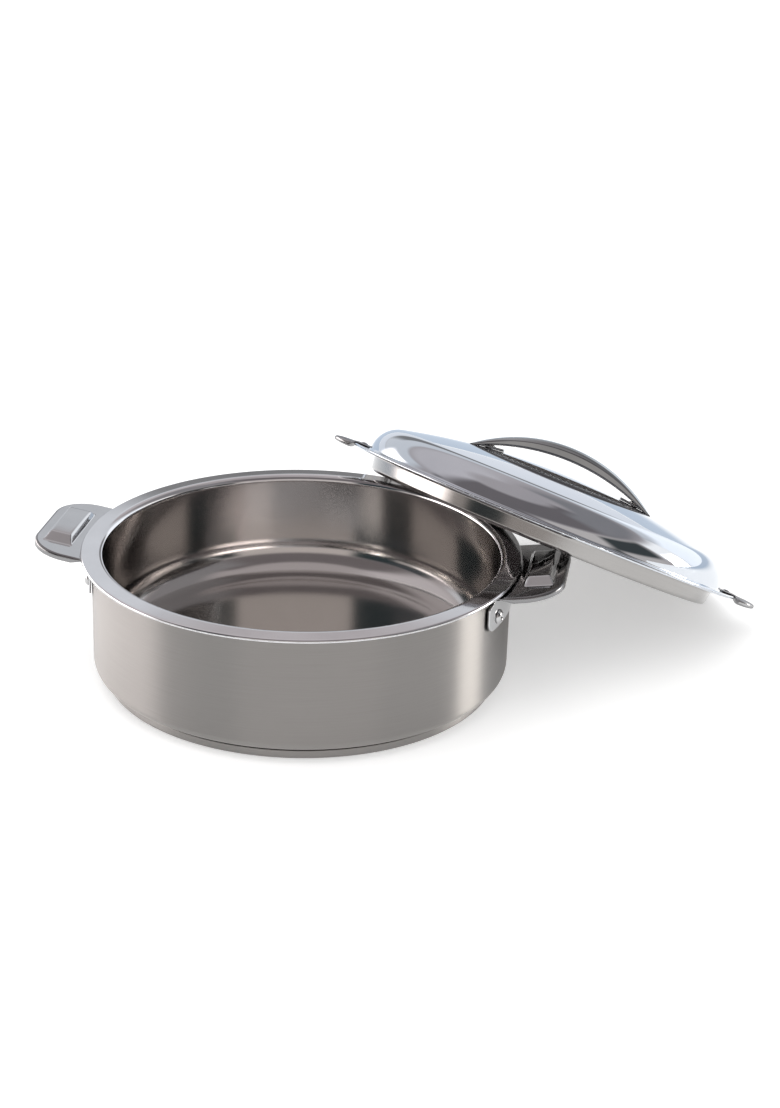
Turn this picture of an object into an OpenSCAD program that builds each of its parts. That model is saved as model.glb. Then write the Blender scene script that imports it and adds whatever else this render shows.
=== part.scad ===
// Double-wall serving casserole with a lift-off lid.
// Millimetres. The origin is the centre of the foot on the table, +X runs through the right handle,
// +Y is the far side and +Z is up.

/* [Pot] */
// Inside diameter of the bowl
bowl_d = 206; // [190:1:230]
// Height of the rim above the table
pot_h = 70; // [62:1:95]
// Height of the bowl's floor above the table
bowl_floor = 14; // [12:0.5:20]
// Radius between the bowl's wall and its floor
bowl_corner = 18; // [8:1:25]
// Room for foam between the two walls
wall_gap = 4.9; // [4.2:0.1:5.6]
// Thickness of the drawn steel sheet
sheet = 0.8; // [0.6:0.1:1]
// Radius at the foot of the outer wall
shell_corner = 5; // [3:0.5:7]

/* [Rim] */
// Width of the flat rim, from the bowl's wall to its outer edge
flange_w = 12; // [11.5:0.5:15]
// Radius that rolls the rim over into the bowl
lip_r = 3.5; // [2:0.25:4.5]
// Radius of the folded bead at the rim's edge
bead_r = 1.2; // [1.1:0.1:1.6]

/* [Foot] */
// How far the foot is set in from the outer wall
foot_inset = 6; // [4:0.5:9]
// Height of the foot
foot_h = 6.4; // [5:0.2:9]
// Radius of the foot's lower edge
foot_edge = 1.5; // [0.8:0.1:2.5]
// Width of the shoulder that the outer wall stands on
foot_shoulder = 6; // [4:0.5:9]
// Height of the groove between the foot's edge and the outer wall
groove_h = 0.8; // [0.4:0.1:1]
// Depth of that groove
groove_w = 3; // [2:0.1:3.1]
// Height of the collar that locates the foot in the outer wall
collar_h = 5; // [3:0.5:6]

/* [Side handles] */
// Thickness of the handle sheet
lug_sheet = 1.2; // [1:0.1:1.6]
// Reach of the handle past the rim
lug_reach = 24; // [20:0.5:32]
// Width of the handle
lug_w = 72; // [64:1:84]
// Radius of the handle's outer corners
lug_corner = 20; // [12:1:24]
// Upward slope of the handle, in degrees
lug_rise = 9; // [5:0.5:12]
// Depth of the turned-down edge
lug_edge = 3; // [2.2:0.1:4]
// Width of the tab that lies on the wall
tab_w = 80; // [74:1:90]
// Height of the tab
tab_h = 18; // [15:0.5:24]
// Radius of the tab's lower corners
tab_corner = 5; // [2:0.5:8]
// Bend of the tab, flatter than the wall, so that its ends spring clear
tab_bend_r = 118; // [116:1:130]
// Distance from the rim to the middle of the raised pad
pad_out = 11; // [9:0.5:14]
// Length of the raised pad along the handle
pad_l = 44; // [36:1:52]
// Width of the raised pad
pad_w = 15; // [12:0.5:17]
// Height of the raised pad
pad_h = 3.4; // [2.4:0.1:4.4]
// Slope of the pad's two ends, in degrees from flat
pad_end_slope = 36; // [30:1:60]
// Slope of the pad's two sides, in degrees from flat
pad_side_slope = 60; // [50:1:75]

/* [Lid] */
// Room between the lid's skirt and the bowl
skirt_clear = 0.8; // [0.5:0.1:1.5]
// How much the skirt tapers inwards
skirt_draft = 1.5; // [0.5:0.1:2.5]
// Depth of the skirt below the rim
skirt_depth = 9.2; // [8:0.1:9.4]
// Width of the folded ring at the skirt's lower edge
skirt_ring = 7; // [5:0.5:10]
// Radius of that ring's two lower edges
skirt_edge = 2.3; // [1:0.1:2.5]
// Depth of the flat underside below the rim
liner_drop = 4; // [2.5:0.1:5]
// Thickness of the lid's sheet
lid_sheet = 0.7; // [0.6:0.1:0.8]
// Width of the lid's flat flange
lid_flange = 9.3; // [8:0.1:12]
// Radius of the folded bead at the flange's edge
hem_r = 0.9; // [0.9:0.05:1.2]
// Height of the dome above the flange
dome_h = 27.5; // [24:0.5:36]
// Radius of the dome's shoulder
dome_shoulder = 17; // [10:0.5:20]

/* [Lid strap] */
// Length of the strap between its two ends
strap_l = 108; // [90:1:126]
// Width of the strap
strap_w = 32; // [24:1:42]
// Height of the strap's crest above the dome's crown
strap_rise = 15.3; // [13:0.1:24]
// Depth of the strap at its crest
strap_depth = 7.6; // [5:0.1:9]
// Thickness of the strap's sheet
strap_sheet = 1.2; // [1:0.1:1.6]
// Length of the feet turned in under the strap
strap_foot = 18; // [17:0.5:22]

/* [Lid ears] */
// Reach of an ear past the flange
ear_reach = 12; // [8:0.5:16]
// Width of an ear
ear_w = 34; // [26:1:44]
// Width of an ear's root on the flange
ear_root_w = 22; // [16:1:26]
// Thickness of an ear's rounded tip
ear_tip = 4.2; // [3:0.1:5]
// Thickness of an ear's root on the flange
ear_root = 1; // [0.8:0.1:1.4]

/* [Rivets] */
// Diameter of a rivet's shank on the side handles
rivet_d = 4; // [3:0.1:5]
// Diameter of its head
rivet_head_d = 7.6; // [6.5:0.1:9]
// Height of its head
rivet_head_h = 2; // [1.4:0.1:2.6]
// Distance between the two rivets of a handle
rivet_spacing = 58; // [50:1:60]
// Height of a rivet above the tab's lower edge
rivet_rise = 5.5; // [5:0.1:8]
// Diameter of the washers behind the shell and the dome
washer_d = 9; // [8:0.1:11]
// Thickness of those washers
washer_t = 0.8; // [0.6:0.1:1]
// Diameter of the shank of an ear's rivet
ear_rivet_d = 2; // [1.6:0.1:2.4]

/* [Where the lid lies] */
// Leaning on the pot as shown, or closed on it
lid_place = "leaning"; // [leaning, closed]
// Slope of the leaning lid, in degrees
lean_tilt = 27.5; // [24:0.5:32]
// Direction in which the leaning lid slopes down, in degrees from the right handle
lean_turn = 50; // [45:1:60]
// Sideways shift of the leaning lid, towards the right handle
lean_shift = 21; // [14:1:24]
// Turn of the ears and strap about the lid's own axis, in degrees
lid_turn = -50; // [-60:1:-40]

/* [Fits] */
// Running gap between pieces that sit against each other
fit = 0.2; // [0.15:0.05:0.3]
// Gap under the lid where it rests
rest_gap = 0.4; // [0.3:0.1:0.6]

/* [Hidden] */
$fn = 192;

// Pot radii and levels
bowl_r = bowl_d / 2;
bowl_back_r = bowl_r + sheet;
shell_in_r = bowl_back_r + wall_gap;
shell_r = shell_in_r + sheet;
rim_r = bowl_r + flange_w;
bead_ring_r = rim_r - bead_r;
bead_z = pot_h - bead_r;
flange_under = pot_h - sheet;
foot_r = shell_r - foot_inset;
collar_r = foot_r - foot_shoulder;
shell_lip_r = bead_ring_r - bead_r / 2;

// Side handle levels, worked out below the bead with one fit of room
lug_root_z = pot_h - 2 * bead_r - fit - lug_sheet;
tab_low = lug_root_z - tab_h;
tab_in_r = shell_r + fit;
rivet_z = tab_low + rivet_rise;
rivet_turn = asin(rivet_spacing / 2 / shell_r);

// The tab is flatter than the wall, so its outer face at a rivet lies this far from the pot's axis
tab_axis_x = tab_in_r - tab_bend_r;
rivet_seat_r = tab_axis_x * cos(rivet_turn)
             + sqrt(pow(tab_bend_r + lug_sheet, 2) - pow(tab_axis_x * sin(rivet_turn), 2));
washer_seat_r = shell_in_r - fit;
rivet_tail_d = rivet_d + 2 * washer_t;

// Lid radii and levels in the lid's own frame, with zero at the rim that it closes on
lid_r = rim_r;
hem_ring_r = lid_r - hem_r;
lid_flange_top = 2 * hem_r;
lid_flange_under = lid_flange_top - lid_sheet;
liner_flange_under = lid_flange_under - lid_sheet;
skirt_top_r = bowl_r - skirt_clear;
skirt_low_r = skirt_top_r - skirt_draft;
foam_r = skirt_low_r - lid_sheet - fit;
dome_r = lid_r - lid_flange;
dome_crown_r = (dome_r * dome_r - 2 * dome_r * dome_shoulder + dome_h * dome_h)
             / (2 * (dome_h - dome_shoulder));
shoulder_mid_r = dome_r - dome_shoulder;
crown_z = lid_flange_top + dome_h;
crown_centre_z = crown_z - dome_crown_r;

// Strap arcs, through its two ends and its crest
strap_half = strap_l / 2;
strap_end_z = crown_centre_z + sqrt(pow(dome_crown_r, 2) - pow(strap_half, 2));
strap_top_z = crown_z + strap_rise;
strap_sag = strap_top_z - strap_end_z;
strap_top_arc = (pow(strap_half, 2) + pow(strap_sag, 2)) / (2 * strap_sag);
strap_low_half = strap_half - 2 * strap_sheet;
strap_low_sag = strap_sag - strap_depth;
strap_low_arc = (pow(strap_low_half, 2) + pow(strap_low_sag, 2)) / (2 * strap_low_sag);
foot_mid = strap_half - strap_foot / 2 - strap_sheet;
foot_lean = asin(foot_mid / dome_crown_r);

// Ears: the place of their rivets on the flat flange, and the lowest level of their tips
ear_rivet_r = (dome_r + hem_ring_r) / 2;
ear_low = lid_flange_top + ear_root / 2 - ear_tip;

// Place of the leaning lid: its flange edge on the table, its flat underside just over the rim's bead
lean_z = hem_ring_r * sin(lean_tilt) - hem_r * cos(lean_tilt) + hem_r;
lean_out = bead_ring_r
         + (bead_r + rest_gap + liner_drop + (bead_z - lean_z) * cos(lean_tilt)) / sin(lean_tilt);

satin = "#8f8b88";
polished = "#c3c4c9";
foam = "#e8dfc0";
zinc = "#a9abb0";

// Half section of a cup with a rounded lower corner, from the axis outwards
module cup_section(r, low, high, corner) {
    translate([0, low + corner]) square([r, high - low - corner]);
    translate([0, low]) square([r - corner, high - low]);
    translate([r - corner, low + corner]) circle(corner);
}

// Half section of a drawn cup wall, open at its top
module cup_wall_section(r, low, high, corner, thick) {
    difference() {
        cup_section(r, low, high, corner);
        cup_section(r - thick, low + thick, high + thick, max(corner - thick, thick));
    }
}

module strip(r_in, r_out, low, high) {
    translate([r_in, low]) square([r_out - r_in, high - low]);
}

// Satin outer wall, turned out under the rim and in over the foot
module outer_shell() {
    color(satin)
    difference() {
        rotate_extrude() {
            difference() {
                cup_wall_section(shell_r, foot_h, flange_under, shell_corner, sheet);
                strip(0, collar_r + fit, foot_h - sheet, foot_h + 2 * sheet);
            }
            strip(shell_in_r, shell_lip_r, flange_under - sheet, flange_under);
        }
        for (side = [0, 180]) rotate(side) handle_holes();
    }
}

// Drawn bowl with its flat rim, the roll into the bowl and the folded bead
module inner_bowl() {
    color(polished)
    rotate_extrude() {
        cup_wall_section(bowl_back_r, bowl_floor - sheet, pot_h - lip_r, bowl_corner + sheet, sheet);
        intersection() {
            translate([bowl_r + lip_r, pot_h - lip_r]) difference() {
                circle(lip_r);
                circle(lip_r - sheet);
            }
            strip(bowl_r, bowl_r + lip_r, pot_h - lip_r, pot_h);
        }
        difference() {
            union() {
                strip(bowl_r + lip_r, bead_ring_r, flange_under, pot_h);
                translate([bead_ring_r, bead_z]) circle(bead_r);
            }
            strip(bowl_r + lip_r, shell_lip_r + fit, flange_under - sheet - fit / 2, flange_under);
        }
    }
}

// Foam between the walls, with pockets round the rivet tails
module pot_insulation() {
    color(foam)
    difference() {
        rotate_extrude() difference() {
            union() {
                cup_section(shell_in_r - fit, foot_h + sheet + fit, pot_h - lip_r - fit,
                            shell_corner - sheet);
                strip(0, collar_r - sheet - fit, sheet + fit, foot_h + shell_corner);
            }
            strip(collar_r - sheet - fit, collar_r + fit, 0, foot_h + collar_h + fit);
            cup_section(bowl_back_r + fit, bowl_floor - sheet - fit, pot_h,
                        bowl_corner + sheet + fit);
        }
        for (side = [0, 180], hand = [-1, 1])
            rotate(side + hand * rivet_turn)
            translate([bowl_back_r, 0, rivet_z])
            rotate([0, 90, 0])
            cylinder(d = washer_d + 4 * fit, h = wall_gap);
    }
}

// Pressed foot that closes the bottom, stepped down at its edge, with a collar inside the outer wall
module base_cap() {
    color(satin)
    rotate_extrude() {
        difference() {
            union() {
                cup_section(foot_r, 0, foot_h - groove_h, foot_edge);
                strip(0, foot_r - groove_w, sheet, foot_h);
            }
            strip(0, foot_r - sheet, sheet, foot_h - groove_h - sheet);
            strip(0, foot_r - groove_w - sheet, sheet, foot_h - sheet);
            strip(0, collar_r - sheet, sheet, foot_h + sheet);
        }
        strip(collar_r - sheet, collar_r, foot_h - sheet, foot_h + collar_h);
    }
}

// Rivet holes of one handle, through its tab and the outer wall
module handle_holes() {
    for (hand = [-1, 1])
        rotate(hand * rivet_turn)
        translate([shell_in_r - sheet, 0, rivet_z])
        rotate([0, 90, 0])
        cylinder(d = rivet_d + 2 * fit, h = 6 * lug_sheet);
}

// Outline of a handle seen from above, drawn in by the given amount
module lug_outline(inset) {
    half = lug_w / 2 - inset;
    tip = lug_reach - inset;
    corner = lug_corner - inset;
    translate([-rim_r / 2, -half]) square([rim_r / 2 + tip - corner, 2 * half]);
    translate([-rim_r / 2, corner - half]) square([rim_r / 2 + tip, 2 * (half - corner)]);
    for (hand = [-1, 1]) translate([tip - corner, hand * (half - corner)]) circle(corner);
}

// Raised pad with sloped ends and sides, standing on its base, grown outwards by the given amount
module pad(grow) {
    length = pad_l + 2 * grow;
    width = pad_w + 2 * grow;
    height = pad_h + grow;
    difference() {
        translate([-width / 2, -length / 2, -lug_sheet]) cube([width, length, height + lug_sheet]);
        for (hand = [0, 180]) rotate(hand) {
            translate([0, length / 2, 0]) rotate([90 - pad_end_slope, 0, 0])
                translate([-width, 0, -2 * length]) cube([2 * width, length, 4 * length]);
            translate([width / 2, 0, 0]) rotate([0, pad_side_slope - 90, 0])
                translate([0, -length, -2 * length]) cube([length, 2 * length, 4 * length]);
        }
    }
}

// Pressed lug handle: a tab on the wall, a plate that rises outwards, a turned-down edge and a pad
module handle() {
    color(polished)
    difference() {
        union() {
            handle_tab();
            handle_plate();
        }
        translate([tab_axis_x, 0, 0]) cylinder(r = tab_bend_r, h = pot_h + sheet);
        handle_holes();
    }
}

module handle_tab() {
    difference() {
        intersection() {
            translate([tab_axis_x, 0, 0]) cylinder(r = tab_bend_r + lug_sheet, h = pot_h);
            translate([shell_r / 2, 0, 0]) rotate([90, 0, 90])
                linear_extrude(shell_r) tab_outline();
        }
        lug_place() translate([-rim_r, -tab_w, lug_sheet])
            cube([2 * rim_r, 2 * tab_w, pot_h]);
    }
}

module tab_outline() {
    half = tab_w / 2;
    translate([-half, tab_low + tab_corner]) square([tab_w, tab_h]);
    translate([tab_corner - half, tab_low]) square([tab_w - 2 * tab_corner, tab_h]);
    for (hand = [-1, 1])
        translate([hand * (half - tab_corner), tab_low + tab_corner]) circle(tab_corner);
}

module lug_place() {
    translate([rim_r, 0, lug_root_z]) rotate([0, -lug_rise, 0]) children();
}

module handle_plate() {
    lug_place() difference() {
        union() {
            linear_extrude(lug_sheet) lug_outline(0);
            translate([0, 0, lug_sheet - lug_edge]) linear_extrude(lug_edge) difference() {
                lug_outline(0);
                lug_outline(lug_sheet);
                translate([-rim_r / 2, -tab_w]) square([rim_r / 2, 2 * tab_w]);
            }
            translate([pad_out, 0, lug_sheet]) pad(0);
        }
        translate([pad_out, 0, lug_sheet / 2]) pad(-lug_sheet / 2);
    }
}

module right_handle() { handle(); }
module left_handle() { rotate(180) handle(); }

// Rivet along +Z: a domed head above zero, and a tail closed on the far end of the grip
module rivet(shank, head, head_h, grip, tail, tail_h) {
    cap_r = (pow(head / 2, 2) + pow(head_h, 2)) / (2 * head_h);
    rotate_extrude() {
        intersection() {
            translate([0, head_h - cap_r]) circle(cap_r);
            square([head / 2, head_h]);
        }
        strip(0, shank / 2, -grip - tail_h, 0);
        strip(0, tail / 2, -grip - tail_h, -grip);
    }
}

module handle_rivets() {
    color(zinc)
    for (hand = [-1, 1])
        rotate(hand * rivet_turn)
        translate([rivet_seat_r + fit, 0, rivet_z])
        rotate([0, 90, 0])
        rivet(rivet_d, rivet_head_d, rivet_head_h,
              rivet_seat_r + fit - washer_seat_r + washer_t + fit / 2, rivet_tail_d, washer_t);
}

module right_handle_rivets() { handle_rivets(); }
module left_handle_rivets() { rotate(180) handle_rivets(); }

module washer() {
    difference() {
        cylinder(d = washer_d, h = washer_t);
        translate([0, 0, -washer_t]) cylinder(d = rivet_d + 2 * fit, h = 3 * washer_t);
    }
}

module handle_washers() {
    color(zinc)
    for (hand = [-1, 1])
        rotate(hand * rivet_turn)
        translate([washer_seat_r - washer_t, 0, rivet_z])
        rotate([0, 90, 0])
        washer();
}

module right_handle_washers() { handle_washers(); }
module left_handle_washers() { rotate(180) handle_washers(); }

// Puts a piece of the lid where the lid lies
module on_lid() {
    if (lid_place == "closed")
        translate([0, 0, pot_h + rest_gap]) rotate(lid_turn) children();
    else
        rotate(lean_turn) translate([lean_out, -lean_shift, lean_z])
            rotate([0, lean_tilt, 0]) rotate(lid_turn) children();
}

// Half section of the space under a dome whose skin is drawn in by the given amount:
// a wide crown arc that runs smoothly into a tight shoulder arc
module dome_section(inset) {
    tangent_r = shoulder_mid_r * (dome_crown_r - inset) / (dome_crown_r - dome_shoulder);
    intersection() {
        translate([0, crown_centre_z]) circle(dome_crown_r - inset);
        union() {
            strip(0, tangent_r, lid_flange_under, crown_z);
            translate([shoulder_mid_r, lid_flange_top]) circle(dome_shoulder - inset);
            strip(0, dome_r - inset, lid_flange_under, lid_flange_top);
        }
        strip(0, dome_r, lid_flange_under, crown_z);
    }
}

// Polished dome with its flat flange, folded round the liner's edge
module lid_dome() {
    color(polished)
    on_lid() difference() {
        rotate_extrude() difference() {
            union() {
                dome_section(0);
                strip(dome_r - lid_sheet, hem_ring_r, lid_flange_under, lid_flange_top);
                translate([hem_ring_r, hem_r]) circle(hem_r);
            }
            dome_section(lid_sheet);
            strip(skirt_top_r, hem_ring_r, liner_flange_under - fit / 4, lid_flange_under);
        }
        strap_holes();
        ear_holes();
    }
}

// Half section of the liner's outer skin, drawn in by the given amount
module liner_section(inset) {
    ring_low = inset - skirt_depth;
    ring_mid = skirt_edge - skirt_depth;
    ring_in = skirt_low_r - skirt_ring;
    polygon([[0, inset - liner_drop], [ring_in + inset, inset - liner_drop],
             [ring_in + inset, ring_mid], [ring_in + skirt_edge, ring_mid],
             [ring_in + skirt_edge, ring_low], [skirt_low_r - skirt_edge, ring_low],
             [skirt_low_r - skirt_edge, ring_mid], [skirt_low_r - inset, ring_mid],
             [skirt_top_r - inset, lid_flange_under], [0, lid_flange_under]]);
    for (r = [skirt_low_r - skirt_edge, ring_in + skirt_edge])
        translate([r, ring_mid]) circle(skirt_edge - inset);
}

// Pan under the dome: a flange, the tapered skirt that plugs the bowl and a raised flat underside
module lid_liner() {
    color(satin)
    on_lid() difference() {
        rotate_extrude() {
            difference() {
                liner_section(0);
                liner_section(lid_sheet);
            }
            strip(skirt_top_r - lid_sheet, hem_ring_r - fit, liner_flange_under, lid_flange_under);
        }
        ear_holes();
    }
}

// Foam between the dome and the liner, with pockets round the strap's rivets
module lid_insulation() {
    color(foam)
    on_lid() difference() {
        rotate_extrude() difference() {
            union() {
                dome_section(lid_sheet + fit);
                strip(0, foam_r, lid_sheet + fit - liner_drop, lid_flange_top);
            }
            strip(foam_r, lid_r, -liner_drop, lid_flange_top);
        }
        for (hand = [0, 180]) rotate(hand) strap_foot_place()
            translate([0, 0, -5 * washer_t]) cylinder(d = washer_d + 4 * fit, h = 5 * washer_t);
    }
}

// Puts a piece at a foot of the strap, with zero on the dome's skin
module strap_foot_place() {
    translate([0, 0, crown_centre_z]) rotate([0, foot_lean, 0]) translate([0, 0, dome_crown_r])
        children();
}

module strap_holes() {
    for (hand = [0, 180]) rotate(hand) strap_foot_place()
        translate([0, 0, -3 * strap_sheet]) cylinder(d = rivet_d + 2 * fit, h = 6 * strap_sheet);
}

// Side view of the strap: a crescent between two arcs, cut by the dome that it stands on
module strap_side(inset) {
    difference() {
        translate([0, strap_top_z - strap_top_arc]) circle(strap_top_arc - inset);
        translate([0, strap_top_z - strap_depth - strap_low_arc]) circle(strap_low_arc);
        translate([0, crown_centre_z]) circle(dome_crown_r + fit);
    }
}

// Arched strap: a channel open below, with its feet turned in on the dome
module lid_handle() {
    color(polished)
    on_lid() difference() {
        union() {
            rotate([90, 0, 0]) difference() {
                linear_extrude(strap_w, center = true) strap_side(0);
                linear_extrude(strap_w - 2 * strap_sheet, center = true) strap_side(strap_sheet);
            }
            for (hand = [0, 180]) rotate(hand) strap_foot_place()
                translate([-strap_foot / 2, strap_sheet / 2 - strap_w / 2, fit])
                cube([strap_foot, strap_w - strap_sheet, strap_sheet]);
        }
        strap_holes();
    }
}

module lid_handle_rivets() {
    color(zinc)
    on_lid() for (hand = [0, 180]) rotate(hand) strap_foot_place()
        translate([0, 0, strap_sheet + 2 * fit])
        rivet(rivet_d, rivet_head_d, rivet_head_h / 2, strap_sheet + lid_sheet + washer_t + 4 * fit,
              rivet_tail_d, washer_t);
}

module lid_handle_washers() {
    color(zinc)
    on_lid() for (hand = [0, 180]) rotate(hand) strap_foot_place()
        translate([0, 0, -lid_sheet - washer_t - fit]) washer();
}

module ear_holes() {
    for (hand = [0, 180]) rotate(hand) translate([ear_rivet_r, 0, 0])
        cylinder(d = ear_rivet_d + fit, h = lid_flange_top + 2 * ear_root);
}

// Thumb tab in the lid's own frame: a thin root on the flange and, outside it, a thicker round tip
// whose edge is rounded too
module ear() {
    difference() {
        union() {
            translate([dome_r, -ear_root_w / 2, lid_flange_top])
                cube([lid_flange + ear_reach / 2, ear_root_w, ear_root]);
            difference() {
                translate([lid_r + ear_reach - ear_w / 2, 0, ear_low]) rotate_extrude() {
                    square([(ear_w - ear_tip) / 2, ear_tip]);
                    translate([(ear_w - ear_tip) / 2, ear_tip / 2]) circle(ear_tip / 2);
                }
                translate([0, 0, ear_low - fit]) cylinder(r = lid_r + fit, h = ear_tip + 2 * fit);
            }
        }
        translate([0, 0, lid_flange_under]) cylinder(r = dome_r + 2 * fit, h = 2 * ear_tip);
        ear_holes();
    }
}

module lid_ear_right() { color(polished) on_lid() ear(); }
module lid_ear_left() { color(polished) on_lid() rotate(180) ear(); }

module lid_ear_rivets() {
    color(zinc)
    on_lid() for (hand = [0, 180]) rotate(hand)
        translate([ear_rivet_r, 0, lid_flange_top + ear_root])
        rivet(ear_rivet_d, 2 * ear_rivet_d, ear_rivet_d / 3, ear_root + 2 * lid_sheet,
              1.5 * ear_rivet_d, liner_flange_under - fit / 2);
}

outer_shell();
inner_bowl();
pot_insulation();
base_cap();
right_handle();
left_handle();
right_handle_rivets();
left_handle_rivets();
right_handle_washers();
left_handle_washers();
lid_dome();
lid_liner();
lid_insulation();
lid_handle();
lid_handle_rivets();
lid_handle_washers();
lid_ear_right();
lid_ear_left();
lid_ear_rivets();
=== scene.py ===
"""Looks of an insulated serving pot with its lid leaned on the rim. Metres, in the frame of the solids."""
import math

import bpy
import numpy as np
from mathutils import Matrix, Vector


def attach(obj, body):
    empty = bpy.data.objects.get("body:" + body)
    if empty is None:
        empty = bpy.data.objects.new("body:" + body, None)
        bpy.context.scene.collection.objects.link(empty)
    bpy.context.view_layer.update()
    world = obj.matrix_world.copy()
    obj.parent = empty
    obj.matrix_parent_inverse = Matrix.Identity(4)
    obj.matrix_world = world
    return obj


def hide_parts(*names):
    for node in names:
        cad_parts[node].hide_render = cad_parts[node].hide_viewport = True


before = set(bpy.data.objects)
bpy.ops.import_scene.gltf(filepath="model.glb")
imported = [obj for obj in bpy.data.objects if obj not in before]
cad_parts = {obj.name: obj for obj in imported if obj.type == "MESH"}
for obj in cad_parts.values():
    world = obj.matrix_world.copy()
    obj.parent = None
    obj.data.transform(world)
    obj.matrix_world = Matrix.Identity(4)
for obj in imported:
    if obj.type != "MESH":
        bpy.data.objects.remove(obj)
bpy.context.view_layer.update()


# Foot: the pressed steel cap that closes the underside of the pot. It is satin steel with a rolled
# lower edge, and the outer wall stands on its shoulder, round a collar.
def bent_section(corners, radii, arc_points=9, support_most=0.0006, support_share=0.15):
    """Half section of bent sheet, as (r, z) points: straight runs between the corners, where each inner
    corner is an arc of its own radius, tangent to both runs, with a support point outside each end of it."""
    p = np.asarray(corners, float)
    bend = np.asarray(radii, float)[:, None]
    to_last, to_next = p[:-2] - p[1:-1], p[2:] - p[1:-1]
    run = np.minimum(np.linalg.norm(to_last, axis=1), np.linalg.norm(to_next, axis=1))[:, None]
    to_last = to_last / np.linalg.norm(to_last, axis=1, keepdims=True)
    to_next = to_next / np.linalg.norm(to_next, axis=1, keepdims=True)
    half = 0.5 * np.arccos(np.clip((to_last * to_next).sum(1), -1, 1))[:, None]
    reach = bend / np.tan(half)
    middle = to_last + to_next
    centre = p[1:-1] + middle / np.linalg.norm(middle, axis=1, keepdims=True) * bend / np.sin(half)
    start, end = p[1:-1] + to_last * reach, p[1:-1] + to_next * reach
    sweep = (math.pi - 2 * half)[:, :, None]
    t = np.linspace(0, 1, arc_points)[None, :, None]
    arc = centre[:, None] + (np.sin((1 - t) * sweep) * (start - centre)[:, None]
                             + np.sin(t * sweep) * (end - centre)[:, None]) / np.sin(sweep)
    support = np.minimum(support_most, support_share * np.maximum(run - reach, 0))
    before, after = start + to_last * support, end + to_next * support
    full = np.concatenate([before[:, None], arc, after[:, None]], 1)
    return np.concatenate([p[:1], full.reshape(-1, 2), p[-1:]])


def grid_quads(rows, columns, wrap=True):
    """Faces of a grid of points counted row by row: face (i, j) lies between rows i and i + 1 and between
    columns j and j + 1, and with wrap the last column joins the first."""
    i = np.arange(rows - 1)[:, None]
    j = np.arange(columns if wrap else columns - 1)[None]
    k = (j + 1) % columns
    corners = (i * columns + j, i * columns + k, (i + 1) * columns + k, (i + 1) * columns + j)
    return np.stack(corners, -1).reshape(-1, 4)


def carried_round(section, around):
    """Points of a surface of revolution about +Z: point (i, j) is section point i turned by angle j."""
    angle = np.linspace(0, 2 * math.pi, around, endpoint=False)
    return np.stack([section[:, :1] * np.cos(angle), section[:, :1] * np.sin(angle),
                     np.repeat(section[:, 1:], around, 1)], -1).reshape(-1, 3)


def length_map(section, around, girth):
    """Map of the faces of a surface of revolution: at each corner, the length round the piece in steps of
    girth and the length along the section."""
    length = np.concatenate([[0], np.cumsum(np.linalg.norm(np.diff(section, axis=0), axis=1))])
    i, j = np.meshgrid(np.arange(len(section) - 1), np.arange(around), indexing="ij")
    round_it = np.stack([j, j + 1, j + 1, j], -1) * girth
    along_it = np.stack([length[i], length[i], length[i + 1], length[i + 1]], -1)
    return np.stack([round_it, along_it], -1).reshape(-1, 2)


def turned_sheet(section, around=288):
    """Surface of revolution of a section that starts and ends on the axis, where a pole point closes it:
    the inner section points carried round, and a fan of triangles at each pole."""
    ring = section[1:-1]
    points = carried_round(ring, around)
    first_pole, last_pole = len(points), len(points) + 1
    last_row = len(points) - around
    j = np.arange(around)
    k = (j + 1) % around
    low = np.stack([np.full(around, first_pole), k, j], -1)
    top = np.stack([last_row + j, last_row + k, np.full(around, last_pole)], -1)
    girth = 2 * math.pi * ring[:, 0].max() / around
    fan = np.stack([np.stack([j, j + 1, j], -1) * girth, np.zeros((around, 3))], -1).reshape(-1, 2)
    poles = [[0, 0, section[0, 1]], [0, 0, section[-1, 1]]]
    uv = np.concatenate([length_map(ring, around, girth), fan, fan])
    return np.concatenate([points, poles]), [grid_quads(len(ring), around), low, top], uv


def ring_sheet(section, around=288):
    """Surface of revolution of a closed section that stays clear of the axis: the section points carried
    round, where the last joins the first."""
    points = carried_round(section, around)
    closed = np.concatenate([section, section[:1]])
    girth = 2 * math.pi * section[:, 0].max() / around
    return points, [grid_quads(len(closed), around) % len(points)], length_map(closed, around, girth)


def make_piece(name, points, blocks, uv=None):
    """New smooth-shaded object at the origin, from an array of points, blocks of faces that have the same
    number of corners, and an optional map of lengths."""
    mesh = bpy.data.meshes.new(name)
    mesh.from_pydata(np.asarray(points).tolist(), [], sum((block.tolist() for block in blocks), []))
    if uv is not None:
        mesh.uv_layers.new(name="lengths").data.foreach_set("uv", np.asarray(uv, np.float32).ravel())
    mesh.polygons.foreach_set("use_smooth", np.ones(len(mesh.polygons), bool))
    mesh.update()
    piece = bpy.data.objects.new(name, mesh)
    bpy.context.scene.collection.objects.link(piece)
    return piece


def second_material_above(piece, level):
    """Puts the piece's second material on the faces whose middle lies above a level."""
    middles = np.empty(len(piece.data.polygons) * 3)
    piece.data.polygons.foreach_get("center", middles)
    piece.data.polygons.foreach_set("material_index", (middles[2::3] > level).astype(np.int32))


def add_node(tree, kind, values=None, **settings):
    """New shader node with its settings and its input values."""
    made = tree.nodes.new(kind)
    for key, value in settings.items():
        setattr(made, key, value)
    for key, value in (values or {}).items():
        made.inputs[key].default_value = value
    return made


def tone_ramp(tree, low, dark, high, light):
    """Colour ramp from a dark tone at low to a light tone at high."""
    ramp = add_node(tree, "ShaderNodeValToRGB")
    for stop, position, tone in zip(ramp.color_ramp.elements, (low, high), (dark, light)):
        stop.position = position
        stop.color = (*tone, 1)
    return ramp


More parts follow.
